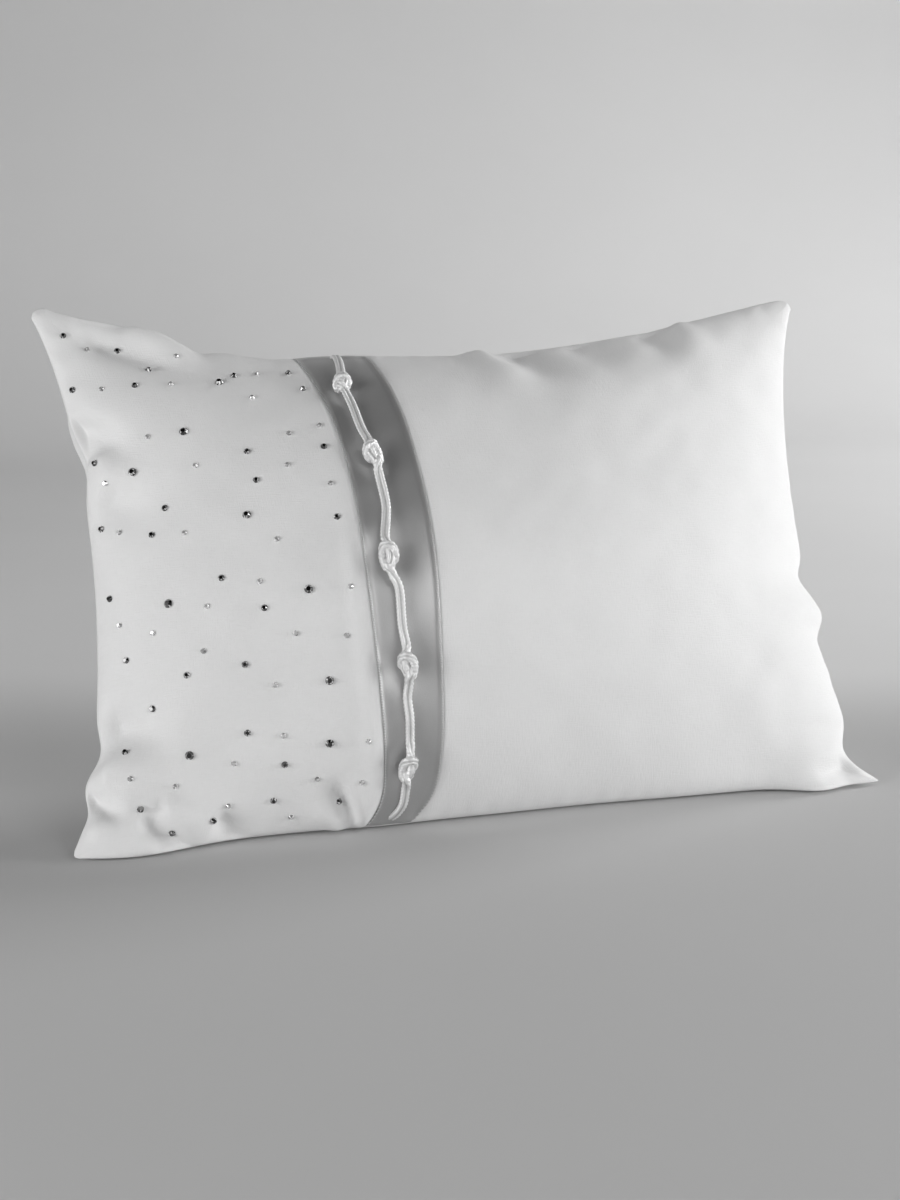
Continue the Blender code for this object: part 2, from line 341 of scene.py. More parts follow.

# Studio: a paper sweep, and how pale it is painted on the floor, behind the object and high up: painted shade
# on the floor, painted light behind, less of it high up.
STAGE_SIZE = 4.0
SWEEP_START = 1.1
SWEEP_RADIUS = 0.7
SWEEP_POINTS = 13
FLOOR_BELOW = 0.0002
SHADED_FLOOR_TONE = 0.60
LIT_BACKDROP_TONE = 0.90
HIGH_BACKDROP_SHADE = 0.80
HIGH_BACKDROP = 0.50
BEHIND_FROM = 0.05
BEHIND_TO = 0.22
BEHIND_SLANT = 0.30
# Camera: its place, lens in mm, tilt from straight down and turn to the right.
CAMERA_PLACE = (-0.2105, -0.6606, 0.2090)
CAMERA_LENS = 56.25
CAMERA_TILT = radians(79.0)
CAMERA_TURN = radians(-17.0)
# Soft lights: place, what it is aimed at, size in metres and power in watts.
MIDDLE = (0.0, 0.0, 0.09)
LIGHTS = {
    "key": ((0.30, -1.12, 0.58), MIDDLE, (0.75, 0.95), 4.3),
    "right": ((1.10, -0.44, 0.14), MIDDLE, (0.6, 0.45), 8.9),
    "left": ((-1.15, -0.40, 0.22), MIDDLE, (0.6, 0.7), 9.3),
    "backdrop": ((1.6, 0.5, 1.0), (0.7, 0.7, 0.0), (0.8, 0.8), 15.0),
}
# The surrounding grey, from level with the object to this share of the way up.
LOW_GREY = 0.36
HIGH_GREY = 0.01
HIGH_GREY_FROM = 0.60


# ---------------------------------------------------------------- shape of the covers


def smooth_step(share):
    """0 below 0, 1 above 1, and a smooth rise between them."""
    share = np.clip(share, 0.0, 1.0)
    return share * share * (3.0 - 2.0 * share)


def bell(distance, spread):
    """1 at nought, falling smoothly to 0 at a few spreads."""
    return np.exp(-((distance / spread) ** 2))


def half_width(up, side):
    """Distance from the middle to the seam on one side, -1 left or 1 right, at a share of the height."""
    pull = np.where(side < 0, LEFT_PULL, RIGHT_PULL)
    return WIDTH / 2 - pull * np.maximum(1.0 - (up / SQUARE_CORNER) ** 2, 0.0) ** SIDE_ROUNDNESS


def side_wave(up, side):
    """How far a side seam waves outwards at a share of the height."""
    left = sum(out * bell(up - where, spread) for where, spread, out in LEFT_WAVES)
    right = sum(out * bell(up - where, spread) for where, spread, out in RIGHT_WAVES)
    return np.where(side < 0, left, right)


def seam_height(across):
    """Length of the seam plane from the bottom seam to the top seam, at a share of the half width."""
    turn = smooth_step(across / ROUNDNESS_TURN + 0.5)
    roundness = LEFT_TOP_ROUNDNESS + (RIGHT_TOP_ROUNDNESS - LEFT_TOP_ROUNDNESS) * turn
    return HEIGHT - TOP_PULL * np.maximum(1.0 - (across / SQUARE_CORNER) ** 2, 0.0) ** roundness


def top_wave(across):
    """How far the top seam rises above its even curve."""
    return sum(lift * bell(across * WIDTH / 2 - where, spread) for where, spread, lift in TOP_WAVES)


def settle(y, z):
    """Height of a point once the filling has slumped backwards and the foot lies flat on the floor."""
    sunk = SLUMP * smooth_step(y / FOOT_DEPTH) * np.maximum(0.0, 1.0 - z / SLUMP_HEIGHT)
    above = z - sunk
    rounded = (above + FOOT_ROUNDING) ** 2 / (4.0 * FOOT_ROUNDING)
    settled = np.where(above < FOOT_ROUNDING, rounded, above)
    return np.where(above <= -FOOT_ROUNDING, 0.0, settled)


def round_corners(along, height):
    """Rounds the four corners of the seam outline."""
    radius = np.where(height > HEIGHT / 2, CORNER_RADIUS, FOOT_CORNER_RADIUS)
    inward_x = (WIDTH / 2 + CORNER_REACH - np.abs(along)) / radius
    inward_z = np.minimum(height, HEIGHT + CORNER_REACH - height) / radius
    near = (inward_x < 1.0) & (inward_z < 1.0)
    p = np.clip(1.0 - inward_x, 0.0, 1.0)
    q = np.clip(1.0 - inward_z, 0.0, 1.0)
    less_x = p * (1.0 - np.sqrt(1.0 - q * q / 2.0)) * radius
    less_z = q * (1.0 - np.sqrt(1.0 - p * p / 2.0)) * radius
    along = along - np.where(near, np.sign(along) * less_x, 0.0)
    height = height + np.where(near, np.where(height > HEIGHT / 2, -less_z, less_z), 0.0)
    return along, height


def seam_distance(across, up):
    """Rough distance in metres to the nearest seam."""
    side = (1.0 - np.abs(across)) * WIDTH / 2
    end = (1.0 - np.abs(up)) * HEIGHT / 2
    return np.minimum(side, end)


def plain_cover(across, up, front):
    """Points of a cover without its folds, from shares of the half width and height in -1..1."""
    swell = np.maximum(0.0, (1.0 - across * across) * (1.0 - up * up))
    along = across * half_width(up, across)
    along = along + np.sign(across) * side_wave(up, across) * np.abs(across) ** WAVE_FADE
    rise = (up + 1.0) / 2.0
    height = rise * seam_height(across) + top_wave(across) * rise**WAVE_FADE
    tip = CORNER_REACH * np.abs(across * up) ** CORNER_POWER
    along = along + tip * np.sign(across)
    height = height + tip * (up > 0)
    along, height = round_corners(along, height)
    edge = SEAM_ALLOWANCE * (1.0 - np.exp(-seam_distance(across, up) / SEAM_ALLOWANCE_REACH))
    if front:
        out = GAP / 2 + edge + FRONT_CROWN * swell**FRONT_FULLNESS
    else:
        out = -GAP / 2 - edge - BACK_CROWN * (1.0 - BELLY * up) * swell**BACK_FULLNESS
    y = height * sin(LEAN) - out * cos(LEAN)
    z = height * cos(LEAN) + out * sin(LEAN)
    for where, spread, forward in BOTTOM_WAVES:
        y = y - forward * bell(along - where, spread) * smooth_step(1.0 - height / BOTTOM_WAVE_HEIGHT)
    return np.stack([along, y - SEAM_TO_MIDDLE, settle(y, z)], axis=-1)


def facing(surface, across, up, outward):
    """Unit normals of a surface function of two shares."""
    step = SLOPE_STEP
    along = surface(np.minimum(across + step, 1.0), up) - surface(np.maximum(across - step, -1.0), up)
    rise = surface(across, np.minimum(up + step, 1.0)) - surface(across, np.maximum(up - step, -1.0))
    normal = np.cross(along, rise) * outward
    return normal / np.maximum(np.linalg.norm(normal, axis=-1, keepdims=True), 1e-12)


def undulation(along, height, length, seed):
    """Soft, even waves in all directions, between about -1 and 1."""
    rng = np.random.RandomState(seed)
    total = np.zeros_like(along)
    for _ in range(WAVE_COUNT):
        turn, phase = rng.uniform(0.0, 2.0 * pi, 2)
        size = length * rng.uniform(*WAVE_SIZES)
        total += np.cos(2.0 * pi * (along * cos(turn) + height * sin(turn)) / size + phase)
    return total / np.sqrt(WAVE_COUNT)


def fold_relief(along, height, folds):
    """Height of the named folds and creases."""
    total = np.zeros_like(along)
    for x0, up0, x1, up1, half, lift in folds:
        z0 = (up0 + 1.0) / 2.0 * (HEIGHT - TOP_PULL)
        z1 = (up1 + 1.0) / 2.0 * (HEIGHT - TOP_PULL)
        dx, dz = x1 - x0, z1 - z0
        length = (dx * dx + dz * dz) ** 0.5
        share = ((along - x0) * dx + (height - z0) * dz) / length**2
        beside = ((along - x0) * dz - (height - z0) * dx) / length
        fade = smooth_step(share / FOLD_RISE + 0.5)
        fade = fade * (1.0 - smooth_step((share - FOLD_FALL_FROM) / FOLD_FALL))
        spread = half * (1.0 + FOLD_FLARE * np.clip(share, 0.0, 1.0))
        total += lift * bell(beside, spread) * fade
    return total


def ribbon_middle(up):
    """Distance right of the pillow's middle to the ribbon's middle."""
    below = np.maximum(-up, 0.0)
    upper = RIBBON_MIDDLE - RIBBON_TOP_SWAY * np.maximum(up, 0.0) ** 2
    return upper + RIBBON_LOWER_LEAN * below**2 - RIBBON_BOTTOM_SWAY * below**RIBBON_SWAY_POWER


def ribbon_width(up):
    """Width of the ribbon, which is drawn together at the bottom seam."""
    below = np.maximum(-up, 0.0)
    upper = RIBBON_MIDDLE_WIDTH + (RIBBON_TOP_WIDTH - RIBBON_MIDDLE_WIDTH) * np.maximum(up, 0.0) ** 2
    lower = (RIBBON_MIDDLE_WIDTH - RIBBON_LOWER_WIDTH) * below**RIBBON_TAPER_POWER
    return upper - lower - (RIBBON_LOWER_WIDTH - RIBBON_BOTTOM_WIDTH) * below**RIBBON_GATHER_POWER


def ribbon_relief(along, up):
    """The groove under the ribbon, the soft fold on its left, and a dimple at each knot."""
    beside = np.abs(along - ribbon_middle(up)) - ribbon_width(up) / 2
    total = -GROOVE * (1.0 - smooth_step((beside + GROOVE_EDGE) / (2 * GROOVE_EDGE)))
    left = ribbon_middle(up) - ribbon_width(up) / 2 - GROOVE_FOLD_WIDTH
    lower = smooth_step((GROOVE_FOLD_TOP - up) / GROOVE_FOLD_FADE)
    total += GROOVE_FOLD * bell(along - left, GROOVE_FOLD_WIDTH) * lower
    for right, share, _, knot in BRAID_ROUTE:
        if not knot:
            continue
        centre = ribbon_middle(share / 100) + right * MM
        away = (up - share / 100) * (HEIGHT - TOP_PULL) / 2 * KNOT_DIMPLE_STRETCH
        far = np.hypot(along - centre, away)
        total -= KNOT_DIMPLE * bell(far, KNOT_DIMPLE_REACH)
    return total


def relief(across, up, front):
    """How far the cover stands off its plain shape: folds, puckers and soft waves."""
    along = across * half_width(up, across)
    height = (up + 1.0) / 2.0 * (HEIGHT - TOP_PULL)
    distance = seam_distance(across, up)
    inside = smooth_step(distance / UNDULATION_INSET)
    total = fold_relief(along, height, FRONT_FOLDS if front else BACK_FOLDS)
    seed = 5 if front else 8
    total += UNDULATION * inside * undulation(along, height, UNDULATION_LENGTH, seed)
    fine = undulation(along, height, UNDULATION_LENGTH * FINE_LENGTH, 11)
    total += FINE_UNDULATION * UNDULATION * inside * fine
    run = np.where((1 - np.abs(across)) * WIDTH < (1 - np.abs(up)) * HEIGHT, height, along)
    ripple = undulation(run, np.zeros_like(run), PUCKER_LENGTH, 3 if front else 4)
    swell = distance / PUCKER_PEAK
    total += PUCKER * ripple * swell * np.exp(1.0 - swell) * np.exp(-distance / PUCKER_REACH)
    if front:
        total += ribbon_relief(along, up) * smooth_step(distance / RIBBON_RELIEF_INSET)
    return total * smooth_step(distance / SEAM_FLAT)


def cover_point(across, up, front=True, sink=0.0):
    """Points of a finished cover, in metres in the row frame, sunk along its normal."""
    across, up = np.asarray(across, float), np.asarray(up, float)
    normal = facing(lambda a, b: plain_cover(a, b, front), across, up, 1 if front else -1)
    lift = relief(across, up, front) - sink
    point = plain_cover(across, up, front) + normal * lift[..., None]
    if not front:
        point[..., 2] = np.maximum(point[..., 2], sink)
    return point


def front_place(x, up, off=0.0):
    """Point and normal on the front cover at a distance right of the middle and a share of the height."""
    across = x / half_width(np.asarray(up, float), np.sign(x))
    normal = facing(cover_point, across, np.asarray(up, float), 1)
    return cover_point(across, up) + np.asarray(off)[..., None] * normal, normal


# ---------------------------------------------------------------- meshes


def bent_steps(count, bend=0.82):
    """Steps from -1 to 1 that grow finer towards the ends."""
    even = np.linspace(-1.0, 1.0, count + 1)
    return (1.0 - bend) * even + bend * np.sin(even * pi / 2)


def make_piece(name, points, faces, material, smooth=True, **marks):
    """A mesh object from points and faces, with named colour-driving values on its points or faces."""
    mesh = bpy.data.meshes.new(name)
    mesh.from_pydata([tuple(p) for p in points], [], faces)
    for key, values in marks.items():
        values = np.asarray(values, np.float32)
        kind, field = ("FLOAT_VECTOR", "vector") if values.ndim == 2 else ("FLOAT", "value")
        domain = "FACE" if len(values) == len(faces) else "POINT"
        mesh.attributes.new(key, kind, domain).data.foreach_set(field, values.ravel())
    mesh.polygons.foreach_set("use_smooth", [smooth] * len(mesh.polygons))
    mesh.materials.append(material)
    mesh.validate()
    piece = bpy.data.objects.new(name, mesh)
    bpy.context.scene.collection.objects.link(piece)
    return piece


def grid_faces(columns, rows, start=0, turned=False):
    """Faces of a grid of (columns + 1) by (rows + 1) points, row by row."""
    faces = []
    for row in range(rows):
        for column in range(columns):
            a = start + row * (columns + 1) + column
            face = (a, a + 1, a + columns + 2, a + columns + 1)
            faces.append(face[::-1] if turned else face)
    return faces


def grid_rim(columns, rows):
    """Point numbers round the edge of a grid, anticlockwise."""
    wide = columns + 1
    bottom = list(range(columns))
    right = [row * wide + columns for row in range(rows)]
    top = [rows * wide + column for column in range(columns, 0, -1)]
    left = [row * wide for row in range(rows, 0, -1)]
    return bottom + right + top + left


def shell(name, outer, inner, flat, material, turned=False):
    """A closed thin shell between two grids of points of the same size."""
    rows, columns = outer.shape[0] - 1, outer.shape[1] - 1
    count = (rows + 1) * (columns + 1)
    faces = grid_faces(columns, rows, 0, turned) + grid_faces(columns, rows, count, not turned)
    rim = grid_rim(columns, rows)
    for a, b in zip(rim, rim[1:] + rim[:1]):
        face = (a, a + count, b + count, b)
        faces.append(face[::-1] if turned else face)
    points = np.concatenate([outer.reshape(-1, 3), inner.reshape(-1, 3)])
    flat = np.concatenate([flat.reshape(-1, 3)] * 2)
    return make_piece(name, points, faces, material, flat=flat)


def flat_places(across, up):
    """Each point's place on the flat cloth, in metres."""
    return np.stack([across * WIDTH / 2, up * HEIGHT / 2, np.zeros_like(across)], axis=-1)


def make_cover(name, front, material):
    """One cover as a thin closed shell."""
    columns, rows = FRONT_GRID if front else BACK_GRID
    across, up = np.meshgrid(bent_steps(columns), bent_steps(rows))
    outer = cover_point(across, up, front)
    inner = cover_point(across, up, front, CLOTH)
    return shell(name, outer, inner, flat_places(across, up), material, turned=not front)


def make_stuffing(material):
    """The filling: a closed pad that lies just inside both covers."""
    columns, rows = STUFFING_GRID
    across, up = np.meshgrid(bent_steps(columns), bent_steps(rows))
    across, up = across * STUFFING_WIDE, up * STUFFING_HIGH
    front = cover_point(across, up, True, STUFFING_DEEP)
    back = cover_point(across, up, False, STUFFING_DEEP)
    return shell("stuffing", front, back, flat_places(across, up), material)


def make_ribbon(material):
    """The ribbon, from the top seam to the bottom seam, with raised selvedges."""
    columns, rows = RIBBON_GRID
    up = np.linspace(-RIBBON_END, RIBBON_END, rows + 1)
    share, up = np.meshgrid(np.linspace(-1.0, 1.0, columns + 1), up)
    x = ribbon_middle(up) + share * ribbon_width(up) / 2
    from_edge = (1.0 - np.abs(share)) * ribbon_width(up) / 2
    rim = SELVEDGE_RISE * bell(from_edge - SELVEDGE / 2, SELVEDGE / 2)
    tuck = smooth_step((RIBBON_END - np.abs(up)) / RIBBON_TUCK)
    under, _ = front_place(x, up, GAP * tuck)
    over, _ = front_place(x, up, (GAP + RIBBON_THICKNESS) * tuck + RIBBON_LIFT + rim * tuck)
    flat = np.stack([share * ribbon_width(up) / 2, up * HEIGHT / 2 * RIBBON_SLACK, from_edge], axis=-1)
    return shell("grey_ribbon", over, under, flat, material)


# ---------------------------------------------------------------- braid


def distance_along(points):
    """Distance from the first point to each point, by the place in its first three numbers."""
    return np.concatenate([[0.0], np.cumsum(np.linalg.norm(np.diff(points[:, :3], axis=0), axis=1))])


def smooth_curve(points, step, samples=40):
    """Points a step apart on a smooth curve through the given points, sampled between each two."""
    points = np.asarray(points, float)
    gaps = np.linalg.norm(np.diff(points[:, :3], axis=0), axis=1)
    knots = np.concatenate([[0.0], np.cumsum(gaps**0.5)])
    ends = np.vstack([2 * points[0] - points[1], points, 2 * points[-1] - points[-2]])
    times = np.concatenate([[knots[0] - knots[1]], knots, [2 * knots[-1] - knots[-2]]])
    dense = []
    for i in range(1, len(points)):
        t0, t1, t2, t3 = times[i - 1 : i + 3]
        p0, p1, p2, p3 = ends[i - 1 : i + 3]
        t = np.linspace(t1, t2, samples, endpoint=False)[:, None]
        a1 = ((t1 - t) * p0 + (t - t0) * p1) / (t1 - t0)
        a2 = ((t2 - t) * p1 + (t - t1) * p2) / (t2 - t1)
        a3 = ((t3 - t) * p2 + (t - t2) * p3) / (t3 - t2)
        b1 = ((t2 - t) * a1 + (t - t0) * a2) / (t2 - t0)
        b2 = ((t3 - t) * a2 + (t - t1) * a3) / (t3 - t1)
        dense.append(((t2 - t) * b1 + (t - t1) * b2) / (t2 - t1))
    dense = np.vstack([*dense, points[-1:]])
    run = distance_along(dense)
    wanted = np.linspace(0.0, run[-1], int(run[-1] / step) + 1)
    return np.stack([np.interp(wanted, run, dense[:, k]) for k in range(points.shape[1])], axis=-1)


def knot_points(place, out, rise, look):
    """Points of a knot tied at a place, with the braid coming along rise and facing out, as in braid_line."""
    right = np.cross(rise, out)
    wide, tall, mirror, turn = look
    turn = radians(turn)
    control = []
    for x, y, z in KNOT_PATH:
        x, z = mirror * x * cos(turn) - z * sin(turn), mirror * x * sin(turn) + z * cos(turn)
        offset = right * (x * wide) + rise * (y * tall) + out * z
        radial = right * x + out * (z + HAIR)
        into = float(abs(y) < KNOT_INSIDE)
        direction = radial / max(np.linalg.norm(radial), 1e-6) * into + out * (1.0 - into)
        control.append([*(place + offset * MM), *direction, into])
    return control


def braid_line():
    """Points of the braid and its knots: place, outward direction, and how far it is into a knot."""
    rows = np.array([(x, up, clear) for x, up, clear, _ in BRAID_ROUTE], float)
    knots = np.array([knot for *_, knot in BRAID_ROUTE])
    up = rows[:, 1] / 100
    depth = np.where(knots, KNOT_DEPTH, BRAID_DEPTH)
    off = GAP + RIBBON_THICKNESS + rows[:, 2] * MM + depth / 2
    tucked = 1.0 - smooth_step((BRAID_END - np.abs(up)) / BRAID_TUCK)
    off = off * (1.0 - tucked) - BRAID_DEPTH * tucked
    places, normals = front_place(ribbon_middle(up) + rows[:, 0] * MM, up, off)
    control = []
    looks = iter(KNOT_LOOKS)
    for i, knot in enumerate(knots):
        if knot:
            rise = places[i - 1] - places[i + 1]
            rise = rise / np.linalg.norm(rise)
            control += knot_points(places[i], normals[i], rise, next(looks))
            continue
        near = [np.linalg.norm(places[i] - places[j]) < KNOT_REACH for j in np.flatnonzero(knots)]
        if not any(near):
            control.append([*places[i], *normals[i], 0.0])
    return control


def smoothed(values, reach):
    """Running mean over a few neighbours."""
    kernel = np.ones(2 * reach + 1) / (2 * reach + 1)
    padded = np.pad(values, ((reach, reach), (0, 0)), mode="edge")
    return np.stack([np.convolve(padded[:, k], kernel, "valid") for k in range(values.shape[1])], axis=-1)


def unit(vectors):
    """The same directions, one unit long."""
    return vectors / np.maximum(np.linalg.norm(vectors, axis=-1, keepdims=True), 1e-12)


def braid_directions(line):
    """Unit directions across the braid and out of its flat, which never flip between neighbours."""
    along = unit(np.gradient(line[:, :3], axis=0))
    face = unit(smoothed(line[:, 3:6], FACE_REACH))
    for i in range(1, len(face)):
        if np.dot(face[i], face[i - 1]) < 0:
            face[i] = -face[i]
    face = unit(smoothed(face, FLIP_REACH))
    face = unit(face - along * np.sum(face * along, axis=1, keepdims=True))
    return np.cross(along, face), face


def tube_faces(rings, sides):
    """Faces of a closed tube of so many rings."""
    faces = []
    for turn in range(rings - 1):
        for k in range(sides):
            a = turn * sides + k
            b = turn * sides + (k + 1) % sides
            faces.append((a, a + sides, b + sides, b))
    faces.append(tuple(range(sides)))
    faces.append(tuple(range((rings - 1) * sides, rings * sides))[::-1])
    return faces


def make_braid(material):
    """The braid, two plaited cords side by side in one closed tube, with its line and its length."""
    line = smooth_curve(braid_line(), BRAID_STEP)
    centre, into = line[:, :3], line[:, 6]
    side, face = braid_directions(line)
    run = distance_along(centre)
    angle = np.linspace(0.0, 2.0 * pi, BRAID_SIDES, endpoint=False)
    half = (BRAID_WIDTH / 2) * (1.0 - KNOT_NARROWING * into)[:, None]
    depth = (BRAID_DEPTH / 2) * (1.0 + KNOT_DEEPENING * into)[:, None]
    x = half * np.cos(angle)[None]
    groove = 1.0 - BRAID_GROOVE * bell(np.cos(angle), BRAID_GROOVE_WIDTH)[None]
    y = depth * np.sin(angle)[None] * groove
    plait = 1.0 + PLAIT * np.cos(2.0 * pi * (run[:, None] - THREAD_SLANT * np.abs(x)) / PLAIT_PITCH)
    points = centre[:, None] + side[:, None] * (x * plait)[..., None] + face[:, None] * (y * plait)[..., None]
    faces = tube_faces(len(centre), BRAID_SIDES)
    flat = np.stack([x, np.broadcast_to(run[:, None], x.shape), y], axis=-1).reshape(-1, 3)
    braid = make_piece("white_braid", points.reshape(-1, 3), faces, material, flat=flat)
    return braid, centre, float(run[-1])


# ---------------------------------------------------------------- crystals


def ring(count, radius, height, spin):
    """Points evenly round a circle."""
    turns = [2.0 * pi * k / count + spin for k in range(count)]
    return [(radius * cos(turn), radius * sin(turn), height) for turn in turns]


def crystal(radius, depth, spin):
    """Points and faces of one faceted stone with a flat bottom, its base in the plane z = 0."""
    around = 2 * STONE_SIDES
    table, base = around, around + STONE_SIDES
    points = ring(around, radius, GIRDLE_RISE * depth, spin)
    points += ring(STONE_SIDES, TABLE * radius, depth, spin)
    points += ring(around, BASE * radius, 0.0, spin)
    faces = [tuple(range(table, base)), tuple(range(base, base + around))[::-1]]
    for k in range(STONE_SIDES):
        here, after = table + k, table + (k + 1) % STONE_SIDES
        faces.append((here, (2 * k - 1) % around, 2 * k))
        faces.append((here, 2 * k, 2 * k + 1))
        faces.append((here, 2 * k + 1, after))
    for k in range(around):
        faces.append((base + k, base + (k + 1) % around, (k + 1) % around, k))
    return points, faces


def stone_place(across, rise):
    """Distance right of the middle and share of the height of a stone, from its two hundredths."""
    up = rise / 50 - 1.0
    left = half_width(np.float64(up), np.float64(-1))
    field = left + FIELD_EDGE - FIELD_SWAY * max(up, 0.0) ** 2
    x = across / 100 * field - left
    even_height = HEIGHT - TOP_PULL * (1.0 - (2 * x / WIDTH) ** 2) ** EVEN_ROUNDNESS
    top, wave = float(seam_height(2 * x / WIDTH)), float(top_wave(2 * x / WIDTH))
    share = rise / 100 * even_height / top
    share -= share**WAVE_FADE * wave / top
    return x, min(2.0 * share - 1.0, HIGHEST_STONE)


def make_stones(name, stones, material, seed, painted_table_tone, facets):
    """Stones of given places, widths and heights, seated on the front cover, each turned and tipped a little.

    The next to last argument is the table's painted brightness, and the last the choice of painted brightness
    for a side face, from 0 to 1: painted glints where bright, painted dark reflections where dark.
    """
    rng = np.random.RandomState(seed)
    points, faces, shade = [], [], []
    for (across, rise), size, tall in stones:
        x, up = stone_place(across, rise)
        place, normal = front_place(np.float64(x), np.float64(up), np.float64(0.0))
        normal = unit(normal + rng.uniform(-STONE_LEAN, STONE_LEAN, 3))
        side = unit(np.cross((0.0, 0.0, 1.0), normal))
        other = np.cross(normal, side)
        local, local_faces = crystal(size / 2, tall, rng.uniform(0.0, pi / 4))
        start = len(points)
        points += [place + side * a + other * b + normal * c for a, b, c in local]
        faces += [tuple(start + k for k in face) for face in local_faces]
        # Each side face gets a painted glint or painted dark reflection, and the table its own painted tone.
        painted_facet_tones = rng.choice(facets, len(local_faces) - 2)
        shade += [painted_table_tone, painted_table_tone, *painted_facet_tones]
    return make_piece(name, points, faces, material, smooth=False, facet=shade)


# ---------------------------------------------------------------- materials


def new_material(name):
    """A material with its node tree, the shader, and a helper that makes nodes."""
    material = bpy.data.materials.new(name)
    material.use_nodes = True
    nodes, links = material.node_tree.nodes, material.node_tree.links
    shader = nodes["Principled BSDF"]

    def node(kind, inputs=(), **settings):
        made = nodes.new(kind)
        for key, value in settings.items():
            setattr(made, key, value)
        for key, value in dict(inputs).items():
            if isinstance(value, bpy.types.NodeSocket):
                links.new(value, made.inputs[key])
            else:
                made.inputs[key].default_value = value
        return made

    return material, shader, node, links


def grey(value):
    """A neutral colour."""
    return (value, value, value, 1.0)


def woven(name, base, spread, roughness, sheen, pitch, weave, specular):
    """Satin cloth: long fine floats across a soft ground, with slubs and slight unevenness of tone."""
    material, shader, node, links = new_material(name)
    place = node("ShaderNodeAttribute", attribute_name="flat").outputs["Vector"]
    warp = node("ShaderNodeMapping", {"Vector": place, "Scale": (1 / pitch, 0.12 / pitch, 1.0)})
    weft = node("ShaderNodeMapping", {"Vector": place, "Scale": (0.10 / pitch, 1 / pitch, 1.0)})
    floats = node("ShaderNodeTexNoise", {"Vector": warp.outputs[0], "Scale": 1.0, "Detail": 2.0})
    threads = node("ShaderNodeTexNoise", {"Vector": weft.outputs[0], "Scale": 1.0, "Detail": 2.0})
    cloud = node("ShaderNodeTexNoise", {"Vector": place, "Scale": 26.0, "Detail": 3.0})
    mixed = node("ShaderNodeMath", {0: floats.outputs[0], 1: threads.outputs[0]}, operation="ADD")
    layers = {0: mixed.outputs[0], 1: 0.35, 2: cloud.outputs[0]}
    tone = node("ShaderNodeMath", layers, operation="MULTIPLY_ADD")
    ramp = node("ShaderNodeValToRGB", {"Fac": tone.outputs[0]})
    ramp.color_ramp.elements[0].position = 0.45
    ramp.color_ramp.elements[1].position = 1.0
    ramp.color_ramp.elements[0].color = grey(base - spread)
    ramp.color_ramp.elements[1].color = grey(base + spread)
    bump = node("ShaderNodeBump", {"Height": mixed.outputs[0], "Strength": weave, "Distance": 0.00012})
    links.new(ramp.outputs[0], shader.inputs["Base Color"])
    links.new(bump.outputs[0], shader.inputs["Normal"])
    shader.inputs["Roughness"].default_value = roughness
    shader.inputs["Specular IOR Level"].default_value = specular
    shader.inputs["Sheen Weight"].default_value = sheen
    shader.inputs["Sheen Roughness"].default_value = 0.4
    return material, shader, node, links, place


def white_satin():
    """Satin of the covers: white, close and softly shining."""
    look = dict(base=0.80, spread=0.03, roughness=0.58, sheen=0.15, specular=0.32)
    return woven("white_satin", pitch=0.00040, weave=0.80, **look)[0]


def wadding():
    """Loose fluffy fibre of the filling."""
    look = dict(base=0.78, spread=0.06, roughness=0.9, sheen=0.5, specular=0.2)
    return woven("wadding", pitch=0.0012, weave=0.9, **look)[0]


def grey_satin():
    """Ribbon satin: closer and shinier, with a row of picot loops along each edge, raised by a bump and
    lightened by a painted highlight.
    """
    look = dict(base=0.49, spread=0.02, roughness=0.40, sheen=0.10, specular=0.8)
    material, shader, node, links, place = woven("grey_satin", pitch=0.00022, weave=0.30, **look)
    shader.inputs["Metallic"].default_value = 0.62
    parts = node("ShaderNodeSeparateXYZ", {"Vector": place})
    turns = node("ShaderNodeMath", {0: parts.outputs["Y"], 1: 2.0 * pi / PICOT_PITCH}, operation="MULTIPLY")
    loops = node("ShaderNodeMath", {0: turns.outputs[0]}, operation="SINE")
    rim = node("ShaderNodeMapRange", {"Value": parts.outputs["Z"], "From Min": 0.0004, "From Max": 0.0006})
    rim.inputs["To Min"].default_value = 1.0
    rim.inputs["To Max"].default_value = 0.0
    dots = node("ShaderNodeMapRange", {"Value": loops.outputs[0], "From Min": -0.2, "From Max": 0.6})
    picot_highlight_mask = node("ShaderNodeMath", {0: rim.outputs[0], 1: dots.outputs[0]}, operation="MULTIPLY")
    ground = shader.inputs["Base Color"].links[0].from_socket
    # Painted highlight: the picot loops along each edge are lightened to pale grey.
    mix = node("ShaderNodeMix", {"Factor": picot_highlight_mask.outputs[0]}, data_type="RGBA")
    links.new(ground, mix.inputs["A"])
    mix.inputs["B"].default_value = grey(0.74)
    links.new(mix.outputs["Result"], shader.inputs["Base Color"])
    weave = shader.inputs["Normal"].links[0].from_node
    edge = node("ShaderNodeBump", {"Height": picot_highlight_mask.outputs[0], "Strength": 0.5, "Distance": 0.00015})
    links.new(weave.outputs[0], edge.inputs["Normal"])
    links.new(edge.outputs[0], shader.inputs["Normal"])
    return material


